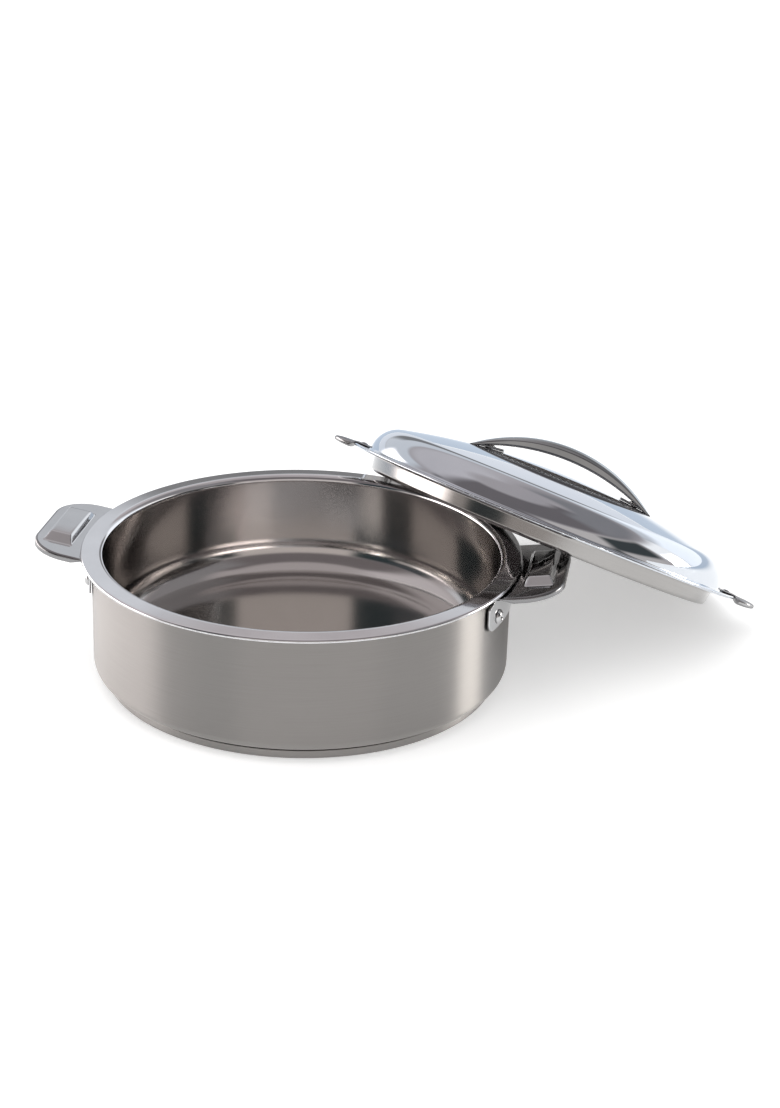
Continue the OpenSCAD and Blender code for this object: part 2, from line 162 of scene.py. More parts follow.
def spun_steel(name, dark, light, rough, spread, stretch, relief=0.00002):
    """Steel finished on a lathe: streaks of noise that run round the piece vary its colour and roughness
    between two values each, broader clouds vary them again, and the highlight is stretched across them."""
    low, high = 0.3, 0.75
    streaks_round, streaks_along, quarter_turn = 26, 1900, 0.25
    material = bpy.data.materials.new(name)
    material.use_nodes = True
    tree = material.node_tree
    steel = tree.nodes["Principled BSDF"]
    steel.inputs["Metallic"].default_value = 1
    steel.inputs["Anisotropic"].default_value = stretch
    steel.inputs["Anisotropic Rotation"].default_value = quarter_turn
    place = add_node(tree, "ShaderNodeTexCoord")
    lengths = add_node(tree, "ShaderNodeMapping", {"Scale": (streaks_round, streaks_along, 1)})
    lines = add_node(tree, "ShaderNodeTexNoise", {"Scale": 1.0, "Detail": 4.0, "Roughness": 0.6})
    clouds = add_node(tree, "ShaderNodeTexNoise", {"Scale": 16.0, "Detail": 3.0})
    half_clouds = add_node(tree, "ShaderNodeMath", {1: 0.5}, operation="MULTIPLY")
    both = add_node(tree, "ShaderNodeMath", {1: 0.5}, operation="MULTIPLY_ADD")
    tone = tone_ramp(tree, low, dark, high, light)
    gloss = add_node(tree, "ShaderNodeMapRange", {1: low, 2: high, 3: rough - spread, 4: rough + spread})
    bump = add_node(tree, "ShaderNodeBump", {"Strength": 0.35, "Distance": relief})
    tangent = add_node(tree, "ShaderNodeTangent", direction_type="UV_MAP", uv_map="lengths")
    link = tree.links.new
    link(place.outputs["UV"], lengths.inputs["Vector"])
    link(lengths.outputs["Vector"], lines.inputs["Vector"])
    link(place.outputs["Object"], clouds.inputs["Vector"])
    link(clouds.outputs["Fac"], half_clouds.inputs[0])
    link(lines.outputs["Fac"], both.inputs[0])
    link(half_clouds.outputs[0], both.inputs[2])
    link(both.outputs[0], tone.inputs["Fac"])
    link(both.outputs[0], gloss.inputs[0])
    link(tone.outputs["Color"], steel.inputs["Base Color"])
    link(gloss.outputs[0], steel.inputs["Roughness"])
    link(lines.outputs["Fac"], bump.inputs["Height"])
    link(bump.outputs["Normal"], steel.inputs["Normal"])
    link(tangent.outputs["Tangent"], steel.inputs["Tangent"])
    return material


foot_r, ledge_r, collar_r, foot_sheet = 0.1035, 0.1005, 0.0975, 0.0008
edge_z, ledge_z, collar_z = 0.0047, 0.0063, 0.0114
foot_section = bent_section(
    [(0, 0), (foot_r, 0), (foot_r, edge_z), (ledge_r, edge_z), (ledge_r, ledge_z), (collar_r, ledge_z),
     (collar_r, collar_z), (collar_r - foot_sheet, collar_z), (collar_r - foot_sheet, ledge_z - foot_sheet),
     (ledge_r - foot_sheet, ledge_z - foot_sheet), (ledge_r - foot_sheet, edge_z - foot_sheet),
     (foot_r - foot_sheet, edge_z - foot_sheet), (foot_r - foot_sheet, foot_sheet), (0, foot_sheet)],
    [0.0015, 0.0005, 0.0001, 0.0002, 0.0003, 0.0003, 0.0003, 0.0004, 0.0002, 0.0001, 0.0002, 0.0005])
foot = make_piece("foot_cap", *turned_sheet(foot_section))
foot.data.materials.append(
    spun_steel("satin_foot", (0.29, 0.279, 0.271), (0.345, 0.333, 0.323), 0.38, 0.02, 0.9))
# Painted shade: the foot's faces above the groove level, in the groove between foot and wall, get near-black
# steel for the shadow there.
foot.data.materials.append(
    spun_steel("painted_groove_shade", (0.05, 0.048, 0.046), (0.08, 0.077, 0.074), 0.55, 0.04, 0.2))
groove_level = 0.0046
second_material_above(foot, groove_level)
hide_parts("base_cap")
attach(foot, "pot")


# Outer wall: a drawn cylinder of satin steel. Its lower corner curls in over the foot, where a groove is left
#  whose shade is painted on the foot, and its top edge is turned out and caught in the fold of the rim.
wall_r, wall_sheet, curl_r, curl_z, curl_bend, edge_bend = 0.1095, 0.0008, 0.0977, 0.0064, 0.005, 0.00004
lip_r, lip_z, lip_sheet = 0.1132, 0.0684, 0.0007
curl_middle, run_in, closing_gap = curl_z + wall_sheet / 2, 0.0023, 0.0001
wall_bends = bent_section(
    [(curl_r + run_in, curl_middle), (curl_r, curl_middle), (curl_r, curl_z), (wall_r, curl_z),
     (wall_r, lip_z), (lip_r, lip_z), (lip_r, lip_z + lip_sheet), (wall_r - wall_sheet, lip_z + lip_sheet),
     (wall_r - wall_sheet, curl_z + wall_sheet), (curl_r, curl_z + wall_sheet),
     (curl_r, curl_middle + closing_gap)],
    [edge_bend, edge_bend, curl_bend, 0.0006, 0.0001, 0.0001, 0.0009, curl_bend - wall_sheet, edge_bend], 13)
# the section closes on its own lower edge, so the run in to the first bend and the last point come off
wall = make_piece("outer_wall", *ring_sheet(wall_bends[2:-1]))
wall.data.materials.append(
    spun_steel("satin_wall", (0.31, 0.299, 0.29), (0.365, 0.352, 0.342), 0.39, 0.015, 1.0))
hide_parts("outer_shell")
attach(wall, "pot")


# Foam: rigid foam that fills the space between the two walls, and the lid. It is sealed in, so it
# keeps the form of its solid and gets the open cells and warm yellow of cut foam.
foam = bpy.data.materials.new("rigid_foam")
foam.use_nodes = True
foam_tree = foam.node_tree
foam_skin = foam_tree.nodes["Principled BSDF"]
foam_skin.inputs["Roughness"].default_value = 0.9
foam_place = add_node(foam_tree, "ShaderNodeTexCoord")
foam_cells = add_node(foam_tree, "ShaderNodeTexVoronoi", {"Scale": 900.0})
foam_tone = tone_ramp(foam_tree, 0, (0.62, 0.53, 0.33), 1, (0.86, 0.79, 0.6))
foam_bump = add_node(foam_tree, "ShaderNodeBump", {"Strength": 0.6, "Distance": 0.0004})
foam_tree.links.new(foam_place.outputs["Object"], foam_cells.inputs["Vector"])
foam_tree.links.new(foam_cells.outputs["Distance"], foam_tone.inputs["Fac"])
foam_tree.links.new(foam_cells.outputs["Distance"], foam_bump.inputs["Height"])
foam_tree.links.new(foam_tone.outputs["Color"], foam_skin.inputs["Base Color"])
foam_tree.links.new(foam_bump.outputs["Normal"], foam_skin.inputs["Normal"])
for foam_node in ("pot_insulation", "lid_insulation"):
    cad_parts[foam_node].data.materials.clear()
    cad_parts[foam_node].data.materials.append(foam)


# Bowl: one deep drawing of steel, spun to a soft shine inside. Its mouth rolls out into a wide polished
# rim, whose edge is folded round the outer wall as a bead.
def polished_steel(name, dark, light, rough, spread):
    """Buffed steel: soft clouds of noise vary its colour and roughness between two values each, and fine
    noise gives the faint haze that wiping leaves."""
    low, high = 0.3, 0.7
    material = bpy.data.materials.new(name)
    material.use_nodes = True
    tree = material.node_tree
    steel = tree.nodes["Principled BSDF"]
    steel.inputs["Metallic"].default_value = 1
    place = add_node(tree, "ShaderNodeTexCoord")
    clouds = add_node(tree, "ShaderNodeTexNoise", {"Scale": 22.0, "Detail": 5.0, "Roughness": 0.62})
    haze = add_node(tree, "ShaderNodeTexNoise", {"Scale": 420.0, "Detail": 2.0})
    tone = tone_ramp(tree, low, dark, high, light)
    gloss = add_node(tree, "ShaderNodeMapRange", {1: low, 2: high, 3: rough - spread, 4: rough + spread})
    bump = add_node(tree, "ShaderNodeBump", {"Strength": 0.03, "Distance": 0.00002})
    link = tree.links.new
    link(place.outputs["Object"], clouds.inputs["Vector"])
    link(place.outputs["Object"], haze.inputs["Vector"])
    link(clouds.outputs["Fac"], tone.inputs["Fac"])
    link(clouds.outputs["Fac"], gloss.inputs[0])
    link(tone.outputs["Color"], steel.inputs["Base Color"])
    link(gloss.outputs[0], steel.inputs["Roughness"])
    link(haze.outputs["Fac"], bump.inputs["Height"])
    link(bump.outputs["Normal"], steel.inputs["Normal"])
    return material


bowl_r, bowl_floor, bowl_sheet = 0.103, 0.014, 0.0008
rim_r, rim_z, rim_under, bead_top, fold_r, fold_z = 0.115, 0.0702, 0.0692, 0.0696, 0.1134, 0.0676
bowl_section = bent_section(
    [(0, bowl_floor - bowl_sheet), (bowl_r + bowl_sheet, bowl_floor - bowl_sheet),
     (bowl_r + bowl_sheet, rim_under), (fold_r, rim_under), (fold_r, fold_z), (rim_r, fold_z),
     (rim_r, bead_top), (bowl_r, rim_z), (bowl_r, bowl_floor), (0, bowl_floor)],
    [0.0188, 0.0027, 0.0003, 0.0003, 0.001, 0.0011, 0.0035, 0.018], 17)
bowl = make_piece("inner_bowl_drawn", *turned_sheet(bowl_section))
bowl.data.materials.append(
    spun_steel("spun_bowl", (0.6, 0.58, 0.567), (0.68, 0.662, 0.65), 0.14, 0.025, 0.3, relief=0.000002))
bowl.data.materials.append(
    polished_steel("buffed_rim", (0.66, 0.66, 0.675), (0.76, 0.76, 0.775), 0.06, 0.02))
rim_level = 0.0668
second_material_above(bowl, rim_level)
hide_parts("inner_bowl")
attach(bowl, "pot")


# Side handles: lugs pressed from thick polished sheet. A tab on the wall bends out under the rim into
# a plate that rises a little, with a raised pad and a turned-down edge.
lug_sheet = 0.0012


def smooth_step(t):
    """0 below 0 and 1 above 1, with the cubic 3 t^2 - 2 t^3 between."""
    t = np.clip(t, 0, 1)
    return t * t * (3 - 2 * t)


def lug_handle(turn):
    """Pressed lug, as a sheet S(u, v): u runs up the tab, round the bend and out along the plate, and v runs
    across, scaled by the half width at u. The pad is the soft minimum of its two slopes and its height, and
    the edge is a quarter round carried along the outline and drawn down. turn = 1 or -1 is right or left."""
    rise, bend = math.radians(9), 0.0024
    tab_r, flat_r, root_r, root_z = 0.1097, 0.118, 0.115, 0.0662
    tab_low, tab_half, tab_corner, neck_drop, neck_run = 0.0482, 0.04, 0.005, 0.0035, 0.003
    half, tip, corner, straight_run = 0.036, 0.024, 0.02, 0.006
    edge, edge_depth, edge_run, edge_least = 0.0013, 0.003, 0.004, 0.05
    pad_out, pad_half_l, pad_half_w, pad_h, pad_crown, pad_soft = 0.011, 0.022, 0.0075, 0.0034, 0.15, 0.00022
    end_steep, side_steep = math.tan(math.radians(36)), math.tan(math.radians(60))
    crowding = math.pi / 2 * 0.55
    top_z = root_z + lug_sheet / math.cos(rise)
    # rows up the tab
    knee_z = top_z + (tab_r - root_r) * math.tan(rise)
    bend_low = knee_z - bend * math.tan((math.pi / 2 - rise) / 2)
    tab_z = np.concatenate([tab_low + tab_corner * (1 - np.cos(np.linspace(0, math.pi / 2, 9))),
                            np.linspace(tab_low + tab_corner, bend_low, 26)[1:]])
    below_corner = np.maximum(tab_corner - (tab_z - tab_low), 0)
    tab_w = tab_half - tab_corner + np.sqrt(np.maximum(tab_corner ** 2 - below_corner ** 2, 0))
    tab_w = tab_w - (tab_half - half + edge) * smooth_step((tab_z - (bend_low - neck_drop)) / neck_run)
    # rows round the bend
    sweep = np.linspace(0, math.pi / 2 - rise, 9)[1:]
    bend_x = tab_r + bend * (1 - np.cos(sweep))
    bend_z = bend_low + bend * np.sin(sweep)
    # rows out along the plate
    first = (bend_x[-1] - root_r) / math.cos(rise)
    side = np.linspace(first, tip - corner, 26)[1:]
    turn_angle = np.linspace(0, math.pi / 2, 40)[1:]
    out = np.concatenate([side, tip - corner + (corner - edge) * np.sin(turn_angle)])
    plate_w = np.concatenate([np.full(len(side), half - edge),
                              half - corner + (corner - edge) * np.cos(turn_angle)])
    x = np.concatenate([np.full(len(tab_z), tab_r), bend_x, root_r + out * math.cos(rise)])
    z = np.concatenate([tab_z, bend_z, top_z + out * math.sin(rise)])
    along = np.concatenate([np.full(len(tab_z) + len(bend_x), first), out])
    wide = np.concatenate([tab_w, np.full(len(bend_x), half - edge), plate_w])
    across = np.sin(np.linspace(-1, 1, 161) * crowding) / math.sin(crowding)
    y = wide[:, None] * across[None, :]
    # the tab and the bend follow the flatter arc of the tab, and the plate straightens out
    bow = np.sqrt(flat_r ** 2 - y ** 2) - flat_r
    share = smooth_step(1 - (along - first) / straight_run)[:, None]
    # height of the pad over the plate
    end_slope = (pad_half_l - np.abs(y)) * end_steep
    side_slope = (pad_half_w - np.abs(along[:, None] - pad_out)) * side_steep
    slopes = np.logaddexp(-end_slope / pad_soft, -side_slope / pad_soft)
    lift = -pad_soft * np.logaddexp(slopes, -pad_h / pad_soft)
    lift = pad_soft * np.logaddexp(0, lift / pad_soft) * (1 + pad_crown - pad_crown * (y / pad_half_l) ** 2)
    grid = np.stack([x[:, None] + share * bow - lift * math.sin(rise), y,
                     z[:, None] + share * bow * math.tan(rise) * (along > first)[:, None]
                     + lift * math.cos(rise)], -1)
    rows, columns = y.shape
    # the turned-down edge, carried along both sides and the tip of the plate
    up_side = np.arange(len(tab_z) + len(bend_x) - 1, rows)
    index = np.arange(rows * columns).reshape(rows, columns)
    loop = np.concatenate([index[up_side, -1], index[-1, -2:0:-1], index[up_side[::-1], 0]])
    normal_angle = np.concatenate([np.zeros(len(side) + 1), turn_angle])
    out_x = np.concatenate([np.sin(normal_angle), np.ones(columns - 2), np.sin(normal_angle[::-1])])
    out_y = np.concatenate([np.cos(normal_angle), np.zeros(columns - 2), -np.cos(normal_angle[::-1])])
    edge_along = np.concatenate([along[up_side], np.full(columns - 2, along[-1]), along[up_side[::-1]]])
    drawn = np.clip((edge_along - first) / edge_run, edge_least, 1)
    theta = np.linspace(0, math.pi / 2, 8)[1:]
    push = np.concatenate([edge * np.sin(theta), np.full(4, edge)])
    drop = np.concatenate([edge * (1 - np.cos(theta)), np.linspace(edge, edge_depth, 5)[1:]])
    across_out = np.stack([out_x * math.cos(rise), out_y, out_x * math.sin(rise)], -1)
    down = np.array([math.sin(rise), 0, -math.cos(rise)])
    rings = (grid.reshape(-1, 3)[loop] + push[:, None, None] * across_out
             + (drop[:, None] * drawn)[:, :, None] * down)
    points = np.concatenate([grid.reshape(-1, 3), rings.reshape(-1, 3)])
    plate = grid_quads(rows, columns, wrap=False)[:, [0, 3, 2, 1]]
    rim_index = rows * columns + np.arange(len(push) * len(loop)).reshape(len(push), len(loop))
    rim_index = np.concatenate([loop[None], rim_index]).ravel()
    rim = rim_index[grid_quads(len(push) + 1, len(loop), wrap=False)]
    return points * np.array([turn, turn, 1]), [plate, rim]


lug_steel = polished_steel("buffed_lug", (0.5, 0.502, 0.51), (0.6, 0.602, 0.61), 0.08, 0.03)
# Painted shade: the turned-down edge gets a darker, rougher copy of the lug's steel, for the dark line of
# shade along it.
shaded_lug_edge_steel = polished_steel("lug_edge_painted_shade", (0.22, 0.22, 0.225), (0.3, 0.3, 0.305), 0.26, 0.05)
for lug_side, lug_turn in (("right", 1), ("left", -1)):
    lug_points, lug_blocks = lug_handle(lug_turn)
    lug = make_piece(lug_side + "_lug", lug_points, lug_blocks)
    lug_wall = lug.modifiers.new("sheet", "SOLIDIFY")
    lug_wall.thickness = lug_sheet
    lug_wall.offset = -1
    lug_wall.use_even_offset = True
    lug.data.materials.append(lug_steel)
    lug.data.materials.append(shaded_lug_edge_steel)
    edge_faces = np.arange(len(lug.data.polygons)) >= len(lug_blocks[0])
    lug.data.polygons.foreach_set("material_index", edge_faces.astype(np.int32))
    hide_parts(lug_side + "_handle")
    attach(lug, "pot")


# Handle rivets: tubular steel rivets through each tab and the wall. The head is a low dome with a
# dimple where the tube was spread, and a washer closes it inside the wall.
def placed(points, matrix, shift):
    """Points turned by a 3 by 3 matrix and then moved by a shift."""
    return np.asarray(points) @ np.asarray(matrix).T + np.asarray(shift)


def joined(sheets):
    """Several sheets as one: all their points, and their face blocks, each counted on from the points of
    the sheets before it."""
    starts = np.cumsum([0] + [len(points) for points, _ in sheets])
    points = np.concatenate([points for points, _ in sheets])
    return points, [block + start for (_, blocks), start in zip(sheets, starts) for block in blocks]


def rivet_head(radius, height, dimple):
    """Rivet head about +Z with its seat at zero: the height is the upper part of a circular cap, scaled to
    the full height, less a smooth pit at the middle."""
    cap_reach, cap_cut, pit_share, seat_share, rim_step = 0.94, 0.34, 0.8, 0.97, 0.0001
    r = np.linspace(0, 1, 26)
    cap = height * (np.sqrt(np.maximum(1 - (cap_reach * r) ** 2, 0)) - cap_cut)
    cap = np.maximum(cap, 0) / cap.max() * height
    pit = pit_share * height * (1 - np.clip(r * radius / dimple, 0, 1) ** 2) ** 2
    top = np.stack([r[::-1] * radius, (cap - pit)[::-1] + 2 * rim_step], -1)
    section = np.concatenate([[(0, 0), (radius * seat_share, 0), (radius, rim_step)], top])
    points, blocks, _ = turned_sheet(section, 48)
    return points, blocks


fixing_steel = polished_steel("rivet_steel", (0.4, 0.4, 0.405), (0.56, 0.56, 0.565), 0.16, 0.05)
rivet_off, rivet_z, rivet_seat, rivet_r, rivet_h, rivet_dimple = 0.029, 0.0537, 0.1113, 0.0038, 0.002, 0.0021
rivet_turn = math.asin(rivet_off / wall_r)
for lug_side, lug_turn in (("right", 0.0), ("left", math.pi)):
    lug_heads = []
    for rivet_angle in (lug_turn - rivet_turn, lug_turn + rivet_turn):
        ahead_x, ahead_y = math.cos(rivet_angle), math.sin(rivet_angle)
        outward = [[0, -ahead_y, ahead_x], [0, ahead_x, ahead_y], [-1, 0, 0]]
        head_points, head_blocks = rivet_head(rivet_r, rivet_h, rivet_dimple)
        head_place = (ahead_x * rivet_seat, ahead_y * rivet_seat, rivet_z)
        lug_heads.append((placed(head_points, outward, head_place), head_blocks))
    rivets = make_piece(lug_side + "_lug_rivets", *joined(lug_heads))
    rivets.data.materials.append(fixing_steel)
    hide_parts(lug_side + "_handle_rivets")
    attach(rivets, "pot")
    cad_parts[lug_side + "_handle_washers"].data.materials.clear()
    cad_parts[lug_side + "_handle_washers"].data.materials.append(fixing_steel)


# Lid pan: the drawn pan under the dome. Its tapered skirt plugs the bowl, a round ring runs along the
# skirt's lower edge, and its flange is caught in the dome's hem. The lid leans with its hem on the table.
def about_z(degrees):
    """Matrix that turns about +Z."""
    a = math.radians(degrees)
    return np.array([[math.cos(a), -math.sin(a), 0], [math.sin(a), math.cos(a), 0], [0, 0, 1]])


def about_y(degrees):
    """Matrix that turns about +Y."""
    a = math.radians(degrees)
    return np.array([[math.cos(a), 0, math.sin(a)], [0, 1, 0], [-math.sin(a), 0, math.cos(a)]])


lid_spin, lid_tilt, lean_turn, lean_shift, rest_gap = -50.0, 27.5, 50.0, 0.021, 0.0004
hem_r, hem_ring_r, bead_r, bead_ring_r, bead_z, pan_drop = 0.0009, 0.1141, 0.0012, 0.1138, 0.0688, 0.004
tilt_sin, tilt_cos = math.sin(math.radians(lid_tilt)), math.cos(math.radians(lid_tilt))
lean_z = hem_ring_r * tilt_sin - hem_r * tilt_cos + hem_r
lean_out = bead_ring_r + (bead_r + rest_gap + pan_drop + (bead_z - lean_z) * tilt_cos) / tilt_sin
lid_matrix = about_z(lean_turn) @ about_y(lid_tilt) @ about_z(lid_spin)
lid_place = about_z(lean_turn) @ np.array([lean_out, -lean_shift, lean_z])
pan_sheet, ring_r, skirt_low_r, skirt_top_r, skirt_z = 0.0007, 0.0937, 0.1007, 0.1022, -0.0092
pan_flange_r, pan_flange_z = 0.1139, 0.0004
pan_section = bent_section(
    [(0, -pan_drop), (ring_r, -pan_drop), (ring_r, skirt_z), (skirt_low_r, skirt_z),
     (skirt_top_r, pan_flange_z), (pan_flange_r, pan_flange_z), (pan_flange_r, pan_flange_z + pan_sheet),
     (skirt_top_r - pan_sheet, pan_flange_z + pan_sheet), (skirt_low_r - pan_sheet, skirt_z + pan_sheet),
     (ring_r + pan_sheet, skirt_z + pan_sheet), (ring_r + pan_sheet, pan_sheet - pan_drop),
     (0, pan_sheet - pan_drop)],
    [0.0012, 0.0023, 0.0023, 0.002, 0.0002, 0.0002, 0.0014, 0.0016, 0.0016, 0.0006], 13)
pan_points, pan_blocks, pan_uv = turned_sheet(pan_section)
pan = make_piece("lid_pan", placed(pan_points, lid_matrix, lid_place), pan_blocks, pan_uv)
pan.data.materials.append(
    spun_steel("spun_pan", (0.33, 0.322, 0.315), (0.4, 0.391, 0.383), 0.16, 0.03, 0.4))
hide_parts("lid_liner")
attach(pan, "lid")


# Lid dome: a mirror-polished dome. A wide crown arc runs into a tight shoulder, below it lies a flat
# flange, and the flange's edge is folded under as a hem.
dome_r, dome_h, dome_shoulder, dome_sheet = 0.1057, 0.0275, 0.017, 0.0007
flange_top, hem_edge_r, hem_inner_r, flange_nick = 0.0018, 0.115, 0.1132, 0.0001


def dome_skin(inset, points=40, short_of_level=0.07):
    """Half section of the dome's skin, drawn in by inset: a crown arc from the axis to where it touches the
    shoulder arc, then the shoulder arc down to just short of the flange."""
    crown = (dome_r ** 2 - 2 * dome_r * dome_shoulder + dome_h ** 2) / (2 * (dome_h - dome_shoulder))
    centre_z = flange_top + dome_h - crown
    meet = math.asin((dome_r - dome_shoulder) / (crown - dome_shoulder))
    a = np.linspace(0, meet, points)
    b = np.linspace(meet, math.pi / 2 - short_of_level, points)[1:]
    arc = np.stack([(crown - inset) * np.sin(a), centre_z + (crown - inset) * np.cos(a)], -1)
    turn = np.stack([dome_r - dome_shoulder + (dome_shoulder - inset) * np.sin(b),
                     flange_top + (dome_shoulder - inset) * np.cos(b)], -1)
    return np.concatenate([arc, turn])


inner_skin, outer_skin = dome_skin(dome_sheet), dome_skin(0)
flange_section = bent_section(
    [inner_skin[-1], (dome_r - dome_sheet, flange_top - dome_sheet), (hem_inner_r, flange_top - dome_sheet),
     (hem_inner_r, 0), (hem_edge_r, 0), (hem_edge_r, flange_top), (dome_r + flange_nick, flange_top),
     outer_skin[-1]], [0.0004, 0.0002, 0.0002, 0.00085, 0.00085, 0.0009])
dome_section = np.concatenate([inner_skin[:-1], flange_section, outer_skin[-2::-1]])
dome_points, dome_blocks, dome_uv = turned_sheet(dome_section, 360)
dome = make_piece("lid_dome_polished", placed(dome_points, lid_matrix, lid_place), dome_blocks, dome_uv)
dome.data.materials.append(
    polished_steel("mirror_dome", (0.6, 0.635, 0.68), (0.67, 0.7, 0.745), 0.04, 0.015))
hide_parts("lid_dome")
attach(dome, "lid")


# Lid ears: two small spoon-shaped thumb tabs. A thin root lies on the flange and is held by one small
# rivet, and outside the flange the tab thickens into a rounded tip.
def spoon_ear(turn):
    """Tab along +X of the lid, turned by turn degrees: an oval of half width w(u) and half thickness t(u)
    about a height c(u), carried outwards along u; at both ends the oval closes to a point."""
    root, edge, reach, tip_r, swell_from, swell_run = 0.1062, 0.115, 0.012, 0.01205, 0.1135, 0.004
    root_half, root_thick, root_z, end_run, end_least, tip_least = 0.011, 0.0005, 0.0023, 0.0006, 0.02, 0.02
    swell_half, swell_thick, swell_drop = 0.0045, 0.0016, 0.0021
    u = np.concatenate([np.linspace(root, edge, 26),
                        edge + reach * np.sin(np.linspace(0, math.pi / 2, 40)[1:])])
    step = smooth_step((u - swell_from) / swell_run)
    round_off = np.sqrt(np.maximum(1 - np.clip((u - edge) / tip_r, 0, 1) ** 2, 0))
    end = np.clip((u - root) / end_run, end_least, 1) ** 0.5
    w = (root_half + swell_half * step) * round_off ** 0.8 * end
    t = (root_thick + swell_thick * step) * np.minimum(1, round_off ** 0.6 + tip_least) * end
    c = root_z - swell_drop * step
    v = np.linspace(0, 2 * math.pi, 64, endpoint=False)
    oval_y = np.sign(np.cos(v)) * np.abs(np.cos(v)) ** 0.55
    oval_z = np.sign(np.sin(v)) * np.abs(np.sin(v)) ** 0.75
    grid = np.stack([np.repeat(u[:, None], len(v), 1), w[:, None] * oval_y,
                     c[:, None] + t[:, None] * oval_z], -1)
    first_end, last_end = len(u) * len(v), len(u) * len(v) + 1
    last_row = first_end - len(v)
    j = np.arange(len(v))
    k = (j + 1) % len(v)
    root_cap = np.stack([np.full(len(v), first_end), k, j], -1)
    tip_cap = np.stack([last_row + j, last_row + k, np.full(len(v), last_end)], -1)
    points = np.concatenate([grid.reshape(-1, 3), [[u[0], 0, c[0]], [u[-1], 0, c[-1]]]])
    return placed(points, about_z(turn), (0, 0, 0)), [grid_quads(len(u), len(v)), root_cap, tip_cap]


ear_steel = polished_steel("buffed_ear", (0.42, 0.42, 0.425), (0.52, 0.52, 0.525), 0.3, 0.04)
ear_steel.node_tree.nodes["Principled BSDF"].inputs["Specular Tint"].default_value = (0.5, 0.5, 0.5, 1)
ear_rivet_place, ear_rivet_r, ear_rivet_h, ear_rivet_dimple = (0.1099, 0, 0.0028), 0.002, 0.0006, 0.0007
ear_heads = []
for ear_side, ear_turn in (("right", 0.0), ("left", 180.0)):
    ear_points, ear_blocks = spoon_ear(ear_turn)
    ear = make_piece("lid_thumb_tab_" + ear_side, placed(ear_points, lid_matrix, lid_place), ear_blocks)
    ear.data.materials.append(ear_steel)
    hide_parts("lid_ear_" + ear_side)
    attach(ear, "lid")
    head_points, head_blocks = rivet_head(ear_rivet_r, ear_rivet_h, ear_rivet_dimple)
    head_points = placed(head_points + np.array(ear_rivet_place), about_z(ear_turn), (0, 0, 0))
    ear_heads.append((placed(head_points, lid_matrix, lid_place), head_blocks))
ear_rivets = make_piece("lid_thumb_tab_rivets", *joined(ear_heads))
ear_rivets.data.materials.append(fixing_steel)
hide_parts("lid_ear_rivets")
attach(ear_rivets, "lid")


# Lid strap: a wide arched strap pressed from polished sheet, with its sides drawn down and a fine bead
# along each. Its two feet are turned in under it and riveted to the dome, with washers inside.
def arched_strap():
    """Strap sheet S(u, v): at each length u along the arch stands a section that is a flattened oval arch in
    v, as wide as the strap and as deep as the gap between the upper and the lower arc at u. A bell-shaped
    swell in v is its bead."""
    half, width, crest, sag, depth, low_half = 0.054, 0.016, 0.0446, 0.01897, 0.0076, 0.0516
    flatness, least_depth, bead_angle, bead_spread, bead_rise = 0.45, 0.0004, 0.3, 0.13, 0.00022
    upper = (half ** 2 + sag ** 2) / (2 * sag)
    lower = (low_half ** 2 + (sag - depth) ** 2) / (2 * (sag - depth))
    u = half * np.sin(np.linspace(-1, 1, 121) * math.pi / 2)
    top = crest - upper + np.sqrt(upper ** 2 - u ** 2)
    under = crest - depth - lower + np.sqrt(lower ** 2 - u ** 2)
    deep = np.maximum(top - np.maximum(under, crest - sag), least_depth)
    v = np.linspace(0, math.pi, 145)
    hand = np.sign(np.cos(v))
    across = hand * np.abs(np.cos(v)) ** flatness
    down = 1 - np.abs(np.sin(v)) ** flatness
    from_edge = math.pi / 2 - np.abs(v - math.pi / 2)
    swell = hand * np.exp(-((from_edge - bead_angle) / bead_spread) ** 2)
    bead = bead_rise * swell[None] * (deep / deep.max())[:, None]
    grid = np.stack([np.repeat(u[:, None], len(v), 1), width * across[None] + bead,
                     top[:, None] - deep[:, None] * down[None]], -1)
    return grid.reshape(-1, 3), [grid_quads(len(u), len(v), wrap=False)]


def strap_foot(turn):
    """Foot sheet F(u, v): the blend from the rivet's round hole at u = 0 to a round-cornered oblong at u = 1,
    at each angle v, laid over the crown of the dome at one end of the strap."""
    crown, crown_z, from_axis, over_dome, hole = 0.3969, 0.0293, 0.0438, 0.0014, 0.0013
    half_long, half_wide, back, squareness = 0.0083, 0.0144, 0.0007, 10
    rows, around = 12, 96
    v = np.linspace(0, 2 * math.pi, around, endpoint=False)
    squared = (np.abs(np.cos(v)) ** squareness + np.abs(np.sin(v)) ** squareness) ** (-1 / squareness)
    oblong = np.stack([half_long * squared * np.cos(v) - back, half_wide * squared * np.sin(v)], -1)
    u = np.linspace(0, 1, rows)[:, None, None]
    flat = (1 - u) * hole * np.stack([np.cos(v), np.sin(v)], -1) + u * oblong
    flat = np.concatenate([flat, np.full((rows, around, 1), crown + over_dome)], -1).reshape(-1, 3)
    lean = about_y(math.degrees(math.asin(from_axis / crown)))
    points = placed(flat, about_z(turn) @ lean, (0, 0, crown_z - crown))
    return points, [grid_quads(rows, around)[:, [0, 3, 2, 1]]]


strap_sheet = 0.0012
strap_points, strap_blocks = joined([arched_strap(), strap_foot(0), strap_foot(180)])
strap = make_piece("lid_strap", placed(strap_points, lid_matrix, lid_place), strap_blocks)
strap_wall = strap.modifiers.new("sheet", "SOLIDIFY")
strap_wall.thickness = strap_sheet
strap_wall.offset = -1
strap_wall.material_offset = 1
strap.data.materials.append(
    polished_steel("buffed_strap", (0.34, 0.36, 0.37), (0.44, 0.462, 0.475), 0.09, 0.03))
